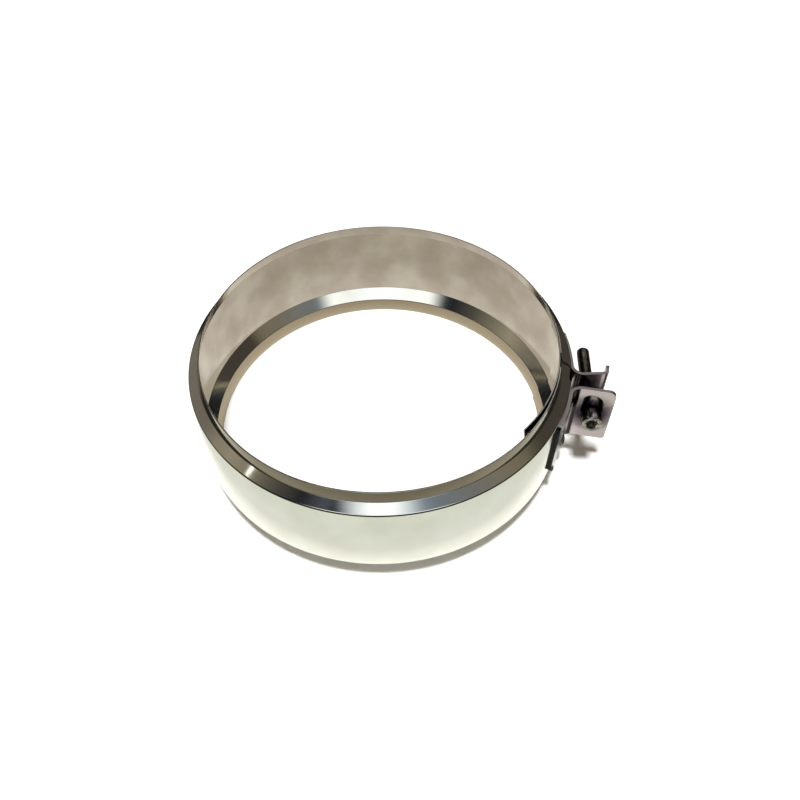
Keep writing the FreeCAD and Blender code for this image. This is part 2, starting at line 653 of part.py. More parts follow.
def make_screw():
    """The socket head screw. Its axis is Y, with the underside of its head at the origin."""
    body = new_body("screw")
    head = "Sizes.head_diameter / 2"
    shank = "Sizes.screw_diameter / 2"
    section = add_half_section(body, "screw_section", [
        ("0", "-Sizes.head_height"),
        (f"{head} - Sizes.head_bevel", "-Sizes.head_height"),
        (head, "-Sizes.head_height + Sizes.head_bevel"),
        (head, "0"),
        (shank, "0"),
        (shank, "Sizes.screw_length - Sizes.tip_bevel"),
        (f"{shank} - Sizes.tip_bevel", "Sizes.screw_length"),
        ("0", "Sizes.screw_length"),
    ])
    revolve(body, "screw_blank", section, "V_Axis", "360")
    socket = add_hexagon(body, "socket_hexagon", cell("socket_width"), "-Sizes.head_height")
    before = body.Shape.Volume
    pocket = body.newObject("PartDesign::Pocket", "socket")
    pocket.Profile = socket
    pocket.Length = number(cell("socket_depth"))
    pocket.setExpression("Length", cell("socket_depth"))
    doc.recompute()
    expected = number("Sizes.socket_width^2 * Sizes.socket_depth") * math.sqrt(3) / 2
    if abs(before - pocket.Shape.Volume - expected) > expected / 100:
        raise RuntimeError("the socket wasn't cut")
    place_on_screw(body, f"(-{HEAD_STAND_OFF})")
    return body


def make_nut():
    """The hexagon nut behind the far plate, two of its sides square to the turned back lip."""
    body = new_body("nut")
    hexagon = add_hexagon(body, "nut_hexagon", cell("nut_width"), "0")
    blank = body.newObject("PartDesign::Pad", "nut_blank")
    blank.Profile = hexagon
    blank.Length = number(cell("nut_height"))
    blank.setExpression("Length", cell("nut_height"))
    blank.Reversed = True
    bore = "Sizes.screw_diameter / 2 + Sizes.thread_play"
    corner = "Sizes.nut_width / 2 / cos(30 deg)"
    flat = "Sizes.nut_width / 2 * 0.96"
    clear = "Sizes.nut_width"
    bore_section = add_half_section(body, "bore_section", [
        ("0", "-1"), (bore, "-1"), (bore, "Sizes.nut_height + 1"), ("0", "Sizes.nut_height + 1")])
    doc.recompute()
    cut_round(body, "bore", bore_section)
    near_bevel = add_half_section(body, "near_bevel_section", [
        (flat, "0"), (corner, "Sizes.nut_bevel"), (clear, "Sizes.nut_bevel"), (clear, "-1"),
        (flat, "-1")])
    cut_round(body, "near_bevel", near_bevel)
    far_bevel = add_half_section(body, "far_bevel_section", [
        (flat, "Sizes.nut_height"), (flat, "Sizes.nut_height + 1"),
        (clear, "Sizes.nut_height + 1"), (clear, "Sizes.nut_height - Sizes.nut_bevel"),
        (corner, "Sizes.nut_height - Sizes.nut_bevel")])
    cut_round(body, "far_bevel", far_bevel)
    place_on_screw(body, NUT_STAND_OFF)
    return body


def cut_round(body, name, sketch):
    """Turn a section about the Y axis and take it out of the body."""
    before = body.Shape.Volume
    groove = body.newObject("PartDesign::Groove", name)
    groove.Profile = sketch
    groove.ReferenceAxis = (sketch, ["V_Axis"])
    groove.Angle = 360
    doc.recompute()
    if groove.Shape.Volume >= before:
        raise RuntimeError(f"{name} took nothing away")
    return groove


def check_document():
    """Every object has to be up to date and free of errors before anything is written."""
    for item in doc.Objects:
        if "Invalid" in item.State or "Error" in item.State:
            raise RuntimeError(f"{item.Name} failed: {item.State}")


def write_pieces(bodies):
    """Write each piece to a file that is named after it."""
    os.makedirs("parts", exist_ok=True)
    for body in bodies:
        shape = body.Shape
        if shape.isNull() or not shape.isValid() or len(shape.Solids) != 1:
            raise RuntimeError(f"{body.Label} isn't one valid solid")
        shape.exportStep(f"parts/{body.Label}.step")
        box = shape.BoundBox
        print(f"{body.Label}: {shape.Volume:.1f} mm3, x {box.XMin:.2f} {box.XMax:.2f},"
              f" y {box.YMin:.2f} {box.YMax:.2f}, z {box.ZMin:.2f} {box.ZMax:.2f}")


pieces = [make_band(), make_bridge(), make_near_lug(), make_far_lug(), make_screw(), make_nut()]
doc.recompute()
check_document()
write_pieces(pieces)
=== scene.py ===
import json
import math

import bmesh
import bpy
from mathutils import Euler, Matrix, Vector, noise


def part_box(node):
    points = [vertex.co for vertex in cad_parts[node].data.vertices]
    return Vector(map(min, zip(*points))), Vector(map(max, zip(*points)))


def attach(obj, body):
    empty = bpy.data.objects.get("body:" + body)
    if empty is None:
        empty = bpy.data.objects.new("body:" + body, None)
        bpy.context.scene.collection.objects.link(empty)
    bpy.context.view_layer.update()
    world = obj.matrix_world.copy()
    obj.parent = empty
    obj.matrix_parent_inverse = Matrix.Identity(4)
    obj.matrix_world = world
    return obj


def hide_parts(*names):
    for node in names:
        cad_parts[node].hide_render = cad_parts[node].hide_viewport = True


# Exhaust band clamp: a rolled channel band of bright stainless sheet, with an inner bridge across
# its split, two folded lugs and a cross screw. Lengths are in metres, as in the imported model.
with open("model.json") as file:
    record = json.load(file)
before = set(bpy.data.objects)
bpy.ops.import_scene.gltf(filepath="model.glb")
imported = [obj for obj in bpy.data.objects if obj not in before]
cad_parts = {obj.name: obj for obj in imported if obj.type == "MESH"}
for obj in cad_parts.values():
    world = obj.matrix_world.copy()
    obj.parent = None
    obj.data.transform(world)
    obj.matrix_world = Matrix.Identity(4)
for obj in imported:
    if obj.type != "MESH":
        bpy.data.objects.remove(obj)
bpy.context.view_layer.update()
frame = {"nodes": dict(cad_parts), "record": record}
MM = 0.001

# Driving sizes of the channel, shared by the band and the bridge
BAND_LOW, BAND_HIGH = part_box("band")
WEB_RADIUS = BAND_HIGH[1]
FLOOR_LEVEL = BAND_LOW[2]
BAND_HEIGHT = BAND_HIGH[2] - BAND_LOW[2]
BAND_SHEET = 0.6 * MM
BRIDGE_SHEET = 0.6 * MM
WELD_GAP = 0.05 * MM
UPPER_LIP_HEIGHT = 5.1 * MM
UPPER_LIP_LEAN = 1.15 * MM
UPPER_STEP_HEIGHT = 2.95 * MM
UPPER_STEP_DEPTH = 4.55 * MM
LOWER_LIP_HEIGHT = 5.7 * MM
LOWER_LIP_LEAN = 1.7 * MM
LOWER_STEP_HEIGHT = 5.1 * MM
LOWER_STEP_DEPTH = 5.0 * MM
FOLD_OUTSIDE = 1.2 * MM
FOLD_INSIDE = 0.35 * MM
SHEARED_EDGE = 0.12 * MM
SHEARED_END_INSET = SHEARED_EDGE * 0.8
SPLIT_GAP = 9.2 * MM
HALF_SPLIT_TURN = math.asin(SPLIT_GAP / 2 / WEB_RADIUS)
BRIDGE_WELD_LENGTH = 24.4 * MM
BRIDGE_FREE_LENGTH = 53.5 * MM
BRIDGE_TIGHTENING = 9.6 * MM

# How finely the sheet is drawn: a step's length round the band, and the turn of a fold's facet
ROLLED_STEP = 1.5 * MM
FOLD_FACET = math.radians(9)

# Driving sizes of the lugs and of the spot welds on their feet
LUG_LOW, LUG_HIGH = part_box("near_lug")
LUG_SHEET = 1.5 * MM
LUG_EDGE = 0.2 * MM
NUT_EDGE = 0.15 * MM
NEAR_LEAN = math.radians(2.5)
SPOT_WELD_SIDE = 22.0 * MM
SPOT_WELD_RISE = 8.5 * MM
SPOT_WELD_RADIUS = 2.2 * MM
SPOT_WELD_FLAT_RADIUS = SPOT_WELD_RADIUS * 0.6
SPOT_WELD_DIMPLE = 0.12 * MM
WELD_TACK_RISE = 0.3 * MM

# Driving sizes of the M6 socket head screw
SCREW_JOINT = next(joint for joint in frame["record"]["behaviour"]["joints"]
                   if joint["name"] == "screw_turn")
SCREW_TILT = math.radians(5.5)
SEAT_PLAY = 0.05 * MM
HEAD_RADIUS = 5.0 * MM
HEAD_HEIGHT = 6.0 * MM
HEAD_ROUND = 0.5 * MM
HEAD_FOOT_ROUND = 0.25 * MM
NECK_FILLET = 0.25 * MM
SOCKET_WIDTH = 5.0 * MM
SOCKET_DEPTH = 3.0 * MM
SOCKET_DRILL_POINT = 0.9 * MM
SOCKET_FLOOR_ROUND = 0.05 * MM
SOCKET_FLOOR_SHARE = 0.97
SOCKET_MOUTH_DEPTH = 0.5 * MM
SOCKET_MOUTH_WIDENING = 0.45 * MM
SOCKET_MOUTH_RIM = 0.2 * MM
SHANK_RADIUS = 3.0 * MM
SCREW_LENGTH = 40.0 * MM
THREAD_START = 11.6 * MM
THREAD_PITCH = 1.0 * MM
THREAD_DEPTH = 0.61 * MM
THREAD_RUN_OUT = 1.5 * MM
THREAD_ROOT_SHARE = 0.12
THREAD_FLANK_SHARE = 0.7
TIP_ROUND = 1.3 * MM
TIP_CROWN = 1.0 * MM

# How finely the screw is drawn, and the radius at which its surface closes on its axis
SCREW_SIDES = 96
THREAD_SAMPLES = 12
CLOSED_RADIUS = 0.05 * MM

# The rolled finish: how much longer than wide its lines are, how deep, and how they vary the shine
GRAIN_STRETCH = 40
GRAIN_DEPTH = 0.002 * MM
GRAIN_CONTRAST = 0.15
NOISE_LOW, NOISE_HIGH = 0.3, 0.7

# A Mix node's sockets share their names, so its values, its colours and its result go by number
VALUE_A, VALUE_B, COLOUR_A, COLOUR_B = 2, 3, 6, 7
MIXED_COLOUR = 2


def colour(code, strength=1.0):
    """An sRGB hex value as linear red, green, blue and alpha, made brighter by a strength."""
    parts = [int(code[place:place + 2], 16) / 255 for place in (0, 2, 4)]
    linear = [part / 12.92 if part <= 0.04045 else ((part + 0.055) / 1.055) ** 2.4
              for part in parts]
    return (*(part * strength for part in linear), 1.0)


def add_node(tree, kind, inputs=None, links=None, stops=None, **settings):
    """A node with its settings, the values of its sockets, its links and its colour stops."""
    node = tree.nodes.new(kind)
    for name, value in settings.items():
        setattr(node, name, value)
    for name, value in (inputs or {}).items():
        node.inputs[name].default_value = value
    for name, source in (links or {}).items():
        tree.links.new(source, node.inputs[name])
    if stops:
        elements = node.color_ramp.elements
        elements.remove(elements[1])
        elements[0].position, elements[0].color = stops[0]
        for place, shade in stops[1:]:
            elements.new(place).color = shade
    return node


def distance_to(tree, place, centre, axes):
    """Distance from a place to a centre, measured only along the axes that are given as 1."""
    apart = add_node(tree, "ShaderNodeVectorMath", {1: centre}, {0: place}, operation="SUBTRACT")
    across = add_node(tree, "ShaderNodeVectorMath", {1: axes}, {0: apart.outputs[0]},
                      operation="MULTIPLY")
    return add_node(tree, "ShaderNodeVectorMath", links={0: across.outputs[0]},
                    operation="LENGTH").outputs["Value"]


def surface_measures(tree, place, axes, mottle):
    """What tells one place on the metal from another: how its face is turned and where it lies."""
    facing = add_node(tree, "ShaderNodeNewGeometry").outputs["True Normal"]
    level_place = add_node(tree, "ShaderNodeVectorMath", {1: (1, 1, 0)}, {0: place},
                           operation="MULTIPLY")
    spoke = add_node(tree, "ShaderNodeVectorMath", links={0: level_place.outputs[0]},
                     operation="NORMALIZE")
    outward = add_node(tree, "ShaderNodeVectorMath", links={0: facing, 1: spoke.outputs[0]},
                       operation="DOT_PRODUCT")
    tilt = add_node(tree, "ShaderNodeSeparateXYZ", links={0: facing})
    upright = add_node(tree, "ShaderNodeMath", links={0: tilt.outputs["Z"]}, operation="ABSOLUTE")
    sideways = add_node(tree, "ShaderNodeMath", links={0: axes["Y"]}, operation="ABSOLUTE")
    # Mirroring about the split and the lugs' mid height makes the four spot welds one
    lug_middle = (0, 0, (LUG_LOW[2] + LUG_HIGH[2]) / 2)
    lug_place = add_node(tree, "ShaderNodeVectorMath", {1: lug_middle}, {0: place},
                         operation="SUBTRACT")
    mirrored = add_node(tree, "ShaderNodeVectorMath", links={0: lug_place.outputs[0]},
                        operation="ABSOLUTE")
    return {
        "outward": outward.outputs["Value"],
        "upright": upright.outputs[0],
        "sideways": sideways.outputs[0],
        "height": axes["Z"],
        "from_screw": distance_to(tree, place, tuple(SCREW_JOINT["pos_m"]), (1, 0, 1)),
        "from_weld": distance_to(tree, mirrored.outputs[0],
                                 (0, SPOT_WELD_SIDE, SPOT_WELD_RISE), (0, 1, 1)),
        "mottle": mottle,
    }


def make_stainless(name, base, tint, roughness, mottle_mm, grain_mm, wave_mm, wave_height_mm,
                   places=(), dimple=0):
    """Stainless steel whose mottled sheen, rolling grain and slight waves follow real sizes.

    Base and tint are its two shades. Roughness is a pair, from the smoothest to the dullest patch.
    Each of the places has its own shade and roughness. It is found by tests: a measure by name,
    and the two values of it between which the place fades in.
    """
    material = bpy.data.materials.new(name)
    material.use_nodes = True
    tree = material.node_tree
    tree.nodes.clear()
    place = add_node(tree, "ShaderNodeTexCoord").outputs["Object"]
    axes = add_node(tree, "ShaderNodeSeparateXYZ", links={0: place}).outputs
    # The lines of the rolled finish run along the strip, so they are laid out round the pipe
    turn = add_node(tree, "ShaderNodeMath", links={0: axes["Y"], 1: axes["X"]},
                    operation="ARCTAN2")
    along_strip = add_node(tree, "ShaderNodeMath", {1: WEB_RADIUS}, {0: turn.outputs[0]},
                           operation="MULTIPLY")
    strip_place = add_node(tree, "ShaderNodeCombineXYZ",
                           links={"X": along_strip.outputs[0], "Z": axes["Z"]})
    grain_scale = 1 / (grain_mm * MM)
    stretched = add_node(tree, "ShaderNodeVectorMath",
                         {1: (grain_scale / GRAIN_STRETCH, 1, grain_scale)},
                         {0: strip_place.outputs[0]}, operation="MULTIPLY")
    grain = add_node(tree, "ShaderNodeTexNoise", {"Scale": 1.0, "Detail": 2.0},
                     {"Vector": stretched.outputs[0]}).outputs["Fac"]
    mottle = add_node(tree, "ShaderNodeTexNoise", {"Scale": 1 / (mottle_mm * MM), "Detail": 4.0},
                      {"Vector": place}).outputs["Fac"]
    waves = add_node(tree, "ShaderNodeTexNoise", {"Scale": 1 / (wave_mm * MM), "Detail": 1.0},
                     {"Vector": place}).outputs["Fac"]
    shade = add_node(tree, "ShaderNodeValToRGB", links={"Fac": mottle},
                     stops=[(0.35, base), (0.65, tint)]).outputs["Color"]
    patches = add_node(tree, "ShaderNodeMapRange",
                       {"From Min": NOISE_LOW, "From Max": NOISE_HIGH,
                        "To Min": roughness[0], "To Max": roughness[1]}, {"Value": mottle})
    streaks = add_node(tree, "ShaderNodeMapRange",
                       {"From Min": NOISE_LOW, "From Max": NOISE_HIGH,
                        "To Min": 1 - GRAIN_CONTRAST, "To Max": 1 + GRAIN_CONTRAST},
                       {"Value": grain})
    dullness = add_node(tree, "ShaderNodeMath",
                        links={0: patches.outputs[0], 1: streaks.outputs[0]},
                        operation="MULTIPLY").outputs[0]
    measures = surface_measures(tree, place, axes, mottle) if places else {}
    for tests, place_shade, place_dullness in places:
        share = None
        for measure, start, end in tests:
            fade = add_node(tree, "ShaderNodeMapRange", {"From Min": start, "From Max": end},
                            {"Value": measures[measure]},
                            interpolation_type="SMOOTHSTEP").outputs[0]
            share = fade if share is None else add_node(
                tree, "ShaderNodeMath", links={0: share, 1: fade}, operation="MULTIPLY").outputs[0]
        shade = add_node(tree, "ShaderNodeMix", {COLOUR_B: place_shade},
                         {"Factor": share, COLOUR_A: shade},
                         data_type="RGBA").outputs[MIXED_COLOUR]
        dullness = add_node(tree, "ShaderNodeMix", {VALUE_B: place_dullness},
                            {"Factor": share, VALUE_A: dullness}).outputs[0]
    dents = add_node(tree, "ShaderNodeBump", {"Strength": 1.0, "Distance": wave_height_mm * MM},
                     {"Height": waves})
    relief = add_node(tree, "ShaderNodeBump", {"Strength": 1.0, "Distance": GRAIN_DEPTH},
                      {"Height": grain, "Normal": dents.outputs["Normal"]})
    if dimple:
        sunk = add_node(tree, "ShaderNodeMapRange",
                        {"From Min": SPOT_WELD_FLAT_RADIUS, "From Max": SPOT_WELD_RADIUS},
                        {"Value": measures["from_weld"]}, interpolation_type="SMOOTHSTEP")
        relief = add_node(tree, "ShaderNodeBump", {"Strength": 1.0, "Distance": dimple},
                          {"Height": sunk.outputs[0], "Normal": relief.outputs["Normal"]})
    metal = add_node(tree, "ShaderNodeBsdfPrincipled", {"Metallic": 1.0},
                     {"Base Color": shade, "Roughness": dullness,
                      "Normal": relief.outputs["Normal"]})
    add_node(tree, "ShaderNodeOutputMaterial", links={"Surface": metal.outputs[0]})
    return material


# Cold rolled bright annealed stainless sheet: a clear, slightly green mirror. Its inner web keeps
# a soft haze from rolling, its lower lip looks duller and more olive inside, and its trimmed edges
# are pale and dull.
band_stainless = make_stainless(
    "band_bright_annealed_stainless", colour("EEEFE8"), colour("E6E6DE"), (0.06, 0.10),
    mottle_mm=16, grain_mm=0.7, wave_mm=30, wave_height_mm=0.05, places=[
        ([("outward", -0.9, -0.98), ("mottle", 0.1, 0.9)], colour("CAC4BC"), 0.12),
        ([("outward", -0.8, -0.9), ("upright", 0.1, 0.2), ("height", 0, -10 * MM)],
         colour("C9C3AE"), 0.12),
        ([("upright", 0.9, 0.98)], colour("D8D4CC"), 0.35),
    ])
# Thicker stainless strip, darkened by forming and spot welding: a dim, pinkish mirror. In order,
# its places are a painted dark reflection on the outer face of its feet, painted shade that makes
# their free ends nearly black, a painted sheen on the corners of its plates, painted shade inside
# its folds, a painted shadow and reflection of the screw head round the screw, the straw tint
# round each spot weld, the spot welds themselves, and the pale, rough sheared edges.
lug_stainless = make_stainless(
    "lug_formed_stainless", colour("A89B9D"), colour("82757C"), (0.05, 0.10),
    mottle_mm=5, grain_mm=0.7, wave_mm=14, wave_height_mm=0.05, places=[
        # Painted dark reflection on the outer face of the feet
        ([("outward", 0.8, 0.95), ("sideways", 14 * MM, 24 * MM)], colour("6A666B"), 0.16),
        # Painted shade that makes the free ends of the feet nearly black
        ([("outward", 0.7, 0.5), ("sideways", 23 * MM, 26 * MM)], colour("1C1B1E"), 0.3),
        # Painted sheen on the corners of the plates, away from the screw
        ([("from_screw", 9.5 * MM, 14 * MM), ("sideways", 14 * MM, 12 * MM)],
         colour("CBBFC2"), 0.08),
        # Painted shade inside the folds
        ([("outward", 0.12, 0.25), ("outward", 0.75, 0.55)], colour("2C282B"), 0.12),
        # Painted shadow and reflection of the screw head on the plate round the screw
        ([("from_screw", 10.5 * MM, 5.5 * MM), ("outward", 0.5, 0.2)], colour("3A333E"), 0.1),
        ([("from_weld", 4.5 * MM, 2 * MM), ("outward", 0.8, 0.95)], colour("74675A"), 0.18),
        ([("from_weld", 2.4 * MM, 1.9 * MM), ("outward", 0.8, 0.95)], colour("938C8A"), 0.22),
        ([("upright", 0.7, 0.95)], colour("CDC5C3"), 0.45),
    ], dimple=SPOT_WELD_DIMPLE)
# Cold headed stainless with a rolled thread: a darker, softer shine with fine mottling
fastener_stainless = make_stainless(
    "fastener_turned_stainless", colour("B4B1AA"), colour("7C7872"), (0.07, 0.13),
    mottle_mm=2, grain_mm=0.4, wave_mm=5, wave_height_mm=0.005)
# Weld metal: grey, rippled and much duller than the sheets that it joins
weld_metal = make_stainless(
    "weld_tack_steel", colour("D6D6D8"), colour("77767A"), (0.25, 0.40),
    mottle_mm=1.2, grain_mm=0.5, wave_mm=1.0, wave_height_mm=0.12)


def add_piece(name, mesh, material):
    """A smooth piece made of a mesh and one material."""
    mesh.polygons.foreach_set("use_smooth", [True] * len(mesh.polygons))
    mesh.materials.append(material)
    mesh.update()
    piece = bpy.data.objects.new(name, mesh)
    bpy.context.scene.collection.objects.link(piece)
    return piece


def add_mesh(name, vertices, faces, material):
    """A smooth piece made of points and faces."""
    mesh = bpy.data.meshes.new(name)
    mesh.from_pydata([tuple(vertex) for vertex in vertices], [], faces)
    return add_piece(name, mesh, material)


def skin_faces(total, count):
    """The faces of a closed skin over rings of points, so many in all and so many to a ring."""
    faces = [tuple(range(count)), tuple(range(total - 1, total - count - 1, -1))]
    for row in range(0, total - count, count):
        for index in range(count):
            here, following = row + index, row + (index + 1) % count
            faces.append((here, here + count, following + count, following))
    return faces


def offset_path(path, offset):
    """A folded line beside a path, at an offset to its left, with both ends trimmed level."""
    steps = [(b - a).normalized() for a, b in zip(path, path[1:])]
    sides = [Vector((-step.y, step.x)) for step in steps]
    corners = []
    for index, point in enumerate(path):
        before, after = sides[max(index - 1, 0)], sides[min(index, len(sides) - 1)]
        corners.append(point + (before + after) / (1 + before.dot(after)) * offset)
    for end, step in ((0, steps[0]), (-1, steps[-1])):
        corners[end] -= step * ((corners[end].y - path[end].y) / step.y)
    return corners


def round_outline(corners, radii):
    """A closed outline with its corners rounded, as points and their outward normals."""
    outline = []
    for index, corner in enumerate(corners):
        into = (corner - corners[index - 1]).normalized()
        out = (corners[(index + 1) % len(corners)] - corner).normalized()
        turn = math.atan2(into.x * out.y - into.y * out.x, into.dot(out))
        bulge = math.copysign(radii[index], turn)
        start_normal = Vector((into.y, -into.x))
        cut_back = radii[index] * abs(math.tan(turn / 2))
        centre = corner - into * cut_back - start_normal * bulge
        count = max(2, math.ceil(abs(turn) / FOLD_FACET))
        for part in range(count + 1):
            normal = start_normal.copy()
            normal.rotate(Matrix.Rotation(turn * part / count, 2))
            outline.append((centre + normal * bulge, normal))
    return outline


def channel_outline(outer_offset, inner_offset):
    """The section of one sheet of the channel: up its outer face and down its inner face."""
    lower_step = WEB_RADIUS - LOWER_STEP_DEPTH
    upper_step = WEB_RADIUS - UPPER_STEP_DEPTH
    lip_foot = BAND_HEIGHT - UPPER_LIP_HEIGHT
    path = [Vector(corner) for corner in (
        (lower_step - LOWER_LIP_LEAN, 0),
        (lower_step, LOWER_LIP_HEIGHT),
        (WEB_RADIUS, LOWER_LIP_HEIGHT + LOWER_STEP_HEIGHT),
        (WEB_RADIUS, lip_foot - UPPER_STEP_HEIGHT),
        (upper_step, lip_foot),
        (upper_step - UPPER_LIP_LEAN, BAND_HEIGHT))]
    corners = offset_path(path, outer_offset) + offset_path(path, inner_offset)[::-1]
    outer_radii = [FOLD_INSIDE, FOLD_OUTSIDE, FOLD_OUTSIDE, FOLD_INSIDE]
    inner_radii = [FOLD_OUTSIDE, FOLD_INSIDE, FOLD_INSIDE, FOLD_OUTSIDE]
    return round_outline(corners, [SHEARED_EDGE, *outer_radii, SHEARED_EDGE,
                                   SHEARED_EDGE, *inner_radii, SHEARED_EDGE])


def roll_channel(name, outline, arcs):
    """Sheet rolled round the pipe: each arc has a centre, a cut in radius, and two azimuths."""
    stations = []
    for centre, shrink, start, end in arcs:
        count = math.ceil((end - start) * WEB_RADIUS / ROLLED_STEP)
        turns = [start + (end - start) * part / count for part in range(count + 1)]
        stations += [(centre, shrink, turn, 0) for turn in turns[1 if stations else 0:]]
    # Both sheared ends get a fine rounded edge: a last, slightly smaller ring
    nick = SHEARED_EDGE / WEB_RADIUS
    for end, inward in ((0, nick), (-1, -nick)):
        centre, shrink, turn, _ = stations[end]
        stations[end] = (centre, shrink, turn + inward, 0)
        stations.insert(0 if end == 0 else len(stations),
                        (centre, shrink, turn, SHEARED_END_INSET))
    vertices, normals = [], []
    for number, (centre, shrink, turn, inset) in enumerate(stations):
        across = Vector((math.cos(turn), math.sin(turn)))
        for point, normal in outline:
            place = point - normal * inset
            spot = centre + across * (place.x - shrink)
            vertices.append((spot.x, spot.y, FLOOR_LEVEL + place.y))
            if inset:
                side = 1 if number else -1
                normals.append((-across.y * side, across.x * side, 0))
            else:
                normals.append((across.x * normal.x, across.y * normal.x, normal.y))
    piece = add_mesh(name, vertices, skin_faces(len(vertices), len(outline)), band_stainless)
    piece.data.normals_split_custom_set_from_vertices(normals)
    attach(piece, "clamp")
    return piece


# The band, split once, and the bridge: welded into the far end, and rolled tighter past the split
pipe_axis = Vector((0, 0))
rolled_band = roll_channel("rolled_band", channel_outline(0, BAND_SHEET),
                           [(pipe_axis, 0, HALF_SPLIT_TURN, 2 * math.pi - HALF_SPLIT_TURN)])
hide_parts("band")
free_axis = Vector((math.cos(HALF_SPLIT_TURN), math.sin(HALF_SPLIT_TURN))) * BRIDGE_TIGHTENING
free_turn = BRIDGE_FREE_LENGTH / (WEB_RADIUS - BRIDGE_TIGHTENING)
inner_bridge = roll_channel(
    "inner_bridge", channel_outline(BAND_SHEET + WELD_GAP, BAND_SHEET + WELD_GAP + BRIDGE_SHEET),
    [(free_axis, BRIDGE_TIGHTENING, HALF_SPLIT_TURN - free_turn, HALF_SPLIT_TURN),
     (pipe_axis, 0, HALF_SPLIT_TURN, HALF_SPLIT_TURN + BRIDGE_WELD_LENGTH / WEB_RADIUS)])
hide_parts("bridge")


def quarter_turn(parts):
    """The angles from 0 to 90 degrees, in equal parts."""
    return [math.pi / 2 * part / parts for part in range(parts + 1)]


def head_rings(turns):
    """The socket and the head, as rings: a level from under the head, and a radius each way."""
    sixth = math.pi / 3
    hexagon = [SOCKET_WIDTH / 2 / math.cos(turn % sixth - sixth / 2) for turn in turns]
    mouth = SOCKET_WIDTH / 2 / math.cos(sixth / 2) + SOCKET_MOUTH_WIDENING
    top = -HEAD_HEIGHT
    floor = top + SOCKET_DEPTH
    rings = [(floor + SOCKET_DRILL_POINT, [CLOSED_RADIUS] * SCREW_SIDES),
             (floor, [reach * SOCKET_FLOOR_SHARE for reach in hexagon]),
             (floor - SOCKET_FLOOR_ROUND, hexagon),
             (top + SOCKET_MOUTH_DEPTH, hexagon)]
    circles = [(top, mouth), (top, mouth + SOCKET_MOUTH_RIM)]
    round_bends, fillet_bends = quarter_turn(parts=6), quarter_turn(parts=4)
    circles += [(top + HEAD_ROUND * (1 - math.cos(bend)),
                 HEAD_RADIUS - HEAD_ROUND * (1 - math.sin(bend))) for bend in round_bends]
    circles += [(-HEAD_FOOT_ROUND * (1 - math.sin(bend)),
                 HEAD_RADIUS - HEAD_FOOT_ROUND * (1 - math.cos(bend))) for bend in fillet_bends]
    circles += [(NECK_FILLET * (1 - math.cos(bend)),
                 SHANK_RADIUS + NECK_FILLET * (1 - math.sin(bend))) for bend in fillet_bends]
    return rings + [(level, [radius] * SCREW_SIDES) for level, radius in circles]


def thread_rings(turns):
    """The right-hand thread, which runs in from the plain shank and out into the domed tip."""
    dome_start, tip = SCREW_LENGTH - TIP_ROUND, SCREW_LENGTH + TIP_CROWN
    steps = round((tip - THREAD_START) / THREAD_PITCH * THREAD_SAMPLES)
    rings = []
    for step in range(steps + 1):
        along = THREAD_START + (tip - THREAD_START) * step / steps
        cut = THREAD_DEPTH * min(1, (along - THREAD_START) / THREAD_RUN_OUT)
        into_dome = min(1, max(0, (along - dome_start) / (tip - dome_start)))
        end_radius = max(CLOSED_RADIUS, SHANK_RADIUS * math.sqrt(1 - into_dome ** 2))
        reaches = []
        for turn in turns:
            phase = (along / THREAD_PITCH - turn / (2 * math.pi)) % 1
            from_root = abs(phase - 0.5) * 2 - THREAD_ROOT_SHARE
            flank = min(1, max(0, from_root / THREAD_FLANK_SHARE))
            reaches.append(min(SHANK_RADIUS - cut * (1 - flank), end_radius))
        rings.append((along, reaches))
    return rings


def make_screw():
    """The M6 socket head screw, as one closed turned surface placed on its joint's axis."""
    along = -Vector(SCREW_JOINT["axis"]).normalized()
    skew = NEAR_LEAN + SCREW_TILT
    stand_off = LUG_SHEET / math.cos(skew) + HEAD_RADIUS * math.tan(skew) + SEAT_PLAY
    under_head = Vector(SCREW_JOINT["pos_m"]) - along * stand_off
    upward = Vector((0, 0, 1))
    sideways = upward.cross(along)
    turns = [2 * math.pi * index / SCREW_SIDES for index in range(SCREW_SIDES)]
    vertices = []
    for level, reaches in head_rings(turns) + thread_rings(turns):
        for turn, reach in zip(turns, reaches):
            spoke = upward * math.sin(turn) - sideways * math.cos(turn)
            vertices.append(under_head + along * level + spoke * reach)
    piece = add_mesh("socket_screw", vertices, skin_faces(len(vertices), SCREW_SIDES),
                     fastener_stainless)
    shape = bmesh.new()
    shape.from_mesh(piece.data)
    bmesh.ops.recalc_face_normals(shape, faces=shape.faces)
    shape.to_mesh(piece.data)
    shape.free()
    piece.data.set_sharp_from_angle(angle=math.radians(35))
    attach(piece, "screw")
    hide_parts("screw")


make_screw()

# A modifier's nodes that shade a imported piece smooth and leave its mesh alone
smooth_shading = bpy.data.node_groups.new("smooth_shading", "GeometryNodeTree")
for direction in ("INPUT", "OUTPUT"):
    smooth_shading.interface.new_socket("Geometry", in_out=direction,
                                        socket_type="NodeSocketGeometry")
packed_shape = add_node(smooth_shading, "NodeGroupInput")
smooth_shape = add_node(smooth_shading, "GeometryNodeSetShadeSmooth",
                        links={"Geometry": packed_shape.outputs[0]})
add_node(smooth_shading, "NodeGroupOutput", links={0: smooth_shape.outputs[0]})

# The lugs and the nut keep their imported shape, with small rounded edges and their own metals
for name, material, edge in (("near_lug", lug_stainless, LUG_EDGE),
                             ("far_lug", lug_stainless, LUG_EDGE),
                             ("nut", fastener_stainless, NUT_EDGE)):
    piece = frame["nodes"][name]
    piece.material_slots[0].material = material
    smooth = piece.modifiers.new("smooth", "NODES")
    smooth.node_group = smooth_shading
    weld = piece.modifiers.new("weld", "WELD")
    weld.merge_threshold = 0.001 * MM
    bevel = piece.modifiers.new("edge", "BEVEL")
    bevel.width = edge
    bevel.segments = 3
    bevel.limit_method = "ANGLE"
    bevel.angle_limit = math.radians(30)
    shading = piece.modifiers.new("shading", "WEIGHTED_NORMAL")
    shading.keep_sharp = False


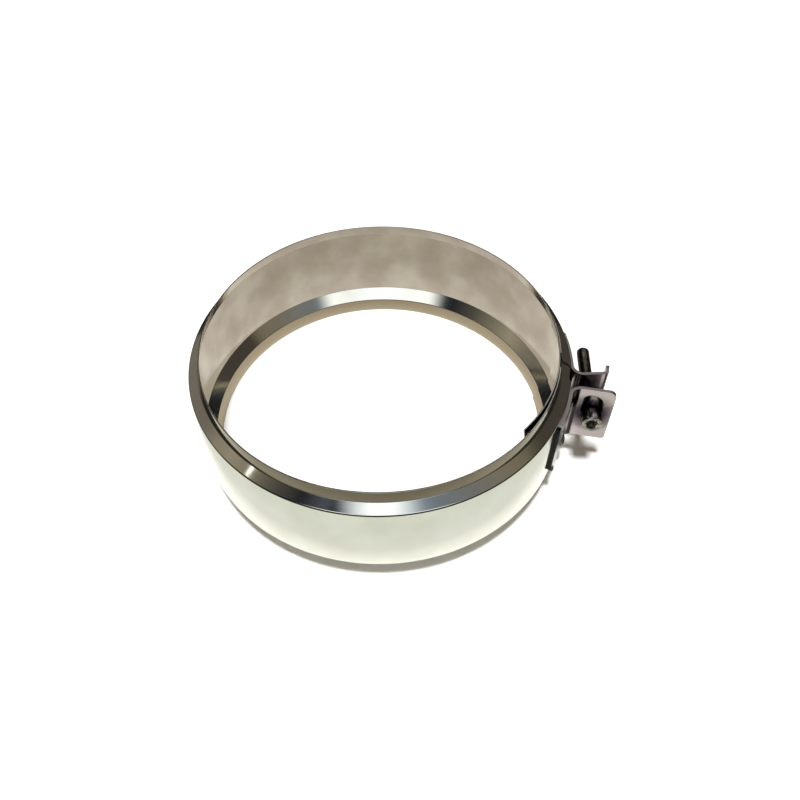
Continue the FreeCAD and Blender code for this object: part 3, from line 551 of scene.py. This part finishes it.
def make_weld_tack(name, azimuth, radius, sizes, seed):
    """A lump of weld metal half sunk into the near lug's lower edge, with an uneven skin.

    Its sizes are its reach outward, around the band and upward.
    """
    outward = Vector((math.cos(azimuth), math.sin(azimuth), 0))
    around = Vector((-outward.y, outward.x, 0))
    upward = Vector((0, 0, 1))
    middle = outward * radius + upward * (LUG_LOW[2] + WELD_TACK_RISE)
    # Broad lumps and finer ripples: how deep, how fine, and where in the noise each is read
    ripples = ((0.16, 1.7, Vector((seed, 0, 0))), (0.05, 5.0, Vector((0, seed, 0))))
    shape = bmesh.new()
    bmesh.ops.create_icosphere(shape, subdivisions=4, radius=1.0)
    for vertex in shape.verts:
        swell = 1 + sum(depth * noise.noise(vertex.co * fineness + shift)
                        for depth, fineness, shift in ripples)
        place = vertex.co * swell
        vertex.co = (middle + outward * place.x * sizes[0] + around * place.y * sizes[1]
                     + upward * place.z * sizes[2])
    mesh = bpy.data.meshes.new(name)
    shape.to_mesh(mesh)
    shape.free()
    piece = add_piece(name, mesh, weld_metal)
    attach(piece, "clamp")


# Two small tacks under the near lug: one at the root of its fold, one at the free end of its foot
make_weld_tack("fold_weld_tack", azimuth=math.radians(-7.0), radius=89.5 * MM,
               sizes=(1.3 * MM, 3.4 * MM, 1.3 * MM), seed=3.1)
make_weld_tack("foot_weld_tack", azimuth=math.radians(-18.6), radius=89.0 * MM,
               sizes=(0.8 * MM, 1.6 * MM, 1.1 * MM), seed=7.4)


def make_floor():
    """Pale floor that keeps the shadow; the metal sees painted light and shade on it, then dark.
    """
    reach = 3.0
    ramp_reach = 0.4
    gap = 0.02 * MM
    material = bpy.data.materials.new("floor_paper")
    material.use_nodes = True
    tree = material.node_tree
    tree.nodes.clear()
    place = add_node(tree, "ShaderNodeTexCoord").outputs["Object"]
    radius = add_node(tree, "ShaderNodeVectorMath", links={0: place}, operation="LENGTH")
    span = add_node(tree, "ShaderNodeMapRange", {"From Min": 0.0, "From Max": ramp_reach},
                    {"Value": radius.outputs["Value"]})
    # Painted light and shade on the floor, seen only in the metal: dim inside the band, brightest
    # close in front of it, then pale, then dark
    painted_floor_light = add_node(tree, "ShaderNodeValToRGB", links={"Fac": span.outputs[0]}, stops=[
        (0.0, colour("B5AC9E")), (0.13, colour("B8AFA2")), (0.19, colour("D4CBC0")),
        (0.225, colour("FFFFF9", 1.25)), (0.25, colour("E6E8E1")), (0.275, colour("E1E5DB")),
        (0.32, colour("E6EBDE")), (0.375, colour("9B9584")), (0.42, colour("7C7665")),
        (0.52, colour("302E27")), (1.0, colour("272422"))])
    rays = add_node(tree, "ShaderNodeLightPath").outputs
    reflected = add_node(tree, "ShaderNodeMix", {COLOUR_A: colour("E7E7E7")},
                         {"Factor": rays["Is Glossy Ray"], COLOUR_B: painted_floor_light.outputs["Color"]},
                         data_type="RGBA")
    paper = add_node(tree, "ShaderNodeMix", {COLOUR_B: colour("FFFFFF", 1.3)},
                     {"Factor": rays["Is Camera Ray"], COLOUR_A: reflected.outputs[MIXED_COLOUR]},
                     data_type="RGBA")
    surface = add_node(tree, "ShaderNodeBsdfDiffuse", links={"Color": paper.outputs[MIXED_COLOUR]})
    add_node(tree, "ShaderNodeOutputMaterial", links={"Surface": surface.outputs[0]})
    corners = [(-reach, -reach, 0), (reach, -reach, 0), (reach, reach, 0), (-reach, reach, 0)]
    floor = add_mesh("floor", corners, [(0, 1, 2, 3)], material)
    floor.location.z = FLOOR_LEVEL - gap


make_floor()


def make_world():
    """White to the eye, even light on the floor, and a studio with a soft window for the metal."""
    world = bpy.data.worlds.new("studio")
    bpy.context.scene.world = world
    world.use_nodes = True
    tree = world.node_tree
    tree.nodes.clear()
    direction = add_node(tree, "ShaderNodeTexCoord").outputs["Generated"]
    axes = add_node(tree, "ShaderNodeSeparateXYZ", links={0: direction}).outputs
    front = add_node(tree, "ShaderNodeMath", {1: -1.0}, {0: axes["Y"]}, operation="MULTIPLY")
    azimuth = add_node(tree, "ShaderNodeMath", links={0: axes["X"], 1: front.outputs[0]},
                       operation="ARCTAN2").outputs[0]
    elevation = add_node(tree, "ShaderNodeMath", links={0: axes["Z"]},
                         operation="ARCSINE").outputs[0]
    around = add_node(tree, "ShaderNodeMapRange", {"From Min": -math.pi, "From Max": math.pi},
                      {"Value": azimuth})
    # Brown studio at both sides, dark blue beside the window, and nearly dark behind
    studio = add_node(tree, "ShaderNodeValToRGB", links={"Fac": around.outputs[0]}, stops=[
        (0.0, colour("3F3C38")), (0.17, colour("4B453F")), (0.28, colour("99907C")),
        (0.35, colour("504D45")), (0.39, colour("212329")), (0.44, colour("595D65")),
        (0.48, colour("959BA6")), (0.57, colour("95A4B1")), (0.62, colour("737C86")),
        (0.74, colour("7C7361")), (0.83, colour("3F3830")), (1.0, colour("3F3C38"))])
    # It fades to nearly black towards the horizon
    horizon = add_node(tree, "ShaderNodeMapRange",
                       {"From Min": math.radians(14), "From Max": math.radians(27),
                        "To Min": 0.05, "To Max": 1.0},
                       {"Value": elevation}, interpolation_type="SMOOTHSTEP")
    light_here = add_node(tree, "ShaderNodeVectorMath", operation="SCALE", links={
        0: studio.outputs["Color"], "Scale": horizon.outputs[0]}).outputs[0]
    # Each patch, in degrees: its left and right side, its lower and upper edge, and how soft its
    # sides and its edges are. Then its colour.
    patches = (
        ((-155, -72), (-20, 26), (8, 8), colour("766E65")),
        ((95, 200), (-20, 34), (8, 8), colour("453F38")),
        ((-200, 200), (70, 100), (10, 10), colour("F3F3F6")),
        ((-29, 47), (33, 47), (14, 6), colour("FFFFFD", 1.3)),
        ((-9, 25), (44, 66), (26, 9), colour("F7FBFF", 1.35)),
        ((-24, 0), (48, 53.5), (7, 2), colour("27272C")),
        ((-68.8, -67.4), (38.2, 41), (1.2, 1.5), colour("FFFBEF", 3)),
        ((161, 169), (44, 51), (3, 3), colour("FFFFFF", 5)),
    )
    for (left, right), (low, high), (soft_sides, soft_edges), shade in patches:
        mask = None
        for source, edge, half in ((azimuth, left, soft_sides / 2),
                                   (azimuth, right, -soft_sides / 2),
                                   (elevation, low, soft_edges / 2),
                                   (elevation, high, -soft_edges / 2)):
            side = add_node(tree, "ShaderNodeMapRange",
                            {"From Min": math.radians(edge - half),
                             "From Max": math.radians(edge + half)},
                            {"Value": source}, interpolation_type="SMOOTHSTEP").outputs[0]
            mask = side if mask is None else add_node(
                tree, "ShaderNodeMath", links={0: mask, 1: side}, operation="MULTIPLY").outputs[0]
        light_here = add_node(tree, "ShaderNodeMix", {COLOUR_B: shade},
                              {"Factor": mask, COLOUR_A: light_here},
                              data_type="RGBA").outputs[MIXED_COLOUR]
    rays = add_node(tree, "ShaderNodeLightPath").outputs
    lit = add_node(tree, "ShaderNodeMix", {COLOUR_A: colour("695F55")},
                   {"Factor": rays["Is Glossy Ray"], COLOUR_B: light_here}, data_type="RGBA")
    shown = add_node(tree, "ShaderNodeMix", {COLOUR_B: colour("FFFFFF")},
                     {"Factor": rays["Is Camera Ray"], COLOUR_A: lit.outputs[MIXED_COLOUR]},
                     data_type="RGBA")
    background = add_node(tree, "ShaderNodeBackground", {"Strength": 1.0},
                          {"Color": shown.outputs[MIXED_COLOUR]})
    add_node(tree, "ShaderNodeOutputWorld", links={"Surface": background.outputs[0]})


make_world()

# One broad soft lamp overhead, a little to the front, gives the floor its short shadows
lamp_data = bpy.data.lights.new("overhead_lamp", "SUN")
lamp_data.energy = 0.88 * math.pi
lamp_data.angle = math.radians(10)
lamp = bpy.data.objects.new("overhead_lamp", lamp_data)
lamp.rotation_euler = Euler((math.radians(7), 0, 0))
lamp.visible_glossy = False
bpy.context.scene.collection.objects.link(lamp)

# Camera at the photograph's viewing angle
camera_data = bpy.data.cameras.new("camera")
camera_data.lens = 35.59
camera_data.sensor_width = 36.0
camera = bpy.data.objects.new("camera", camera_data)
camera.location = (0.045365, -0.244769, 0.2888)
camera.rotation_euler = Euler((math.radians(39.45), 0, math.radians(8.42)))
bpy.context.scene.collection.objects.link(camera)
bpy.context.scene.camera = camera
bpy.context.scene.view_settings.view_transform = "Standard"
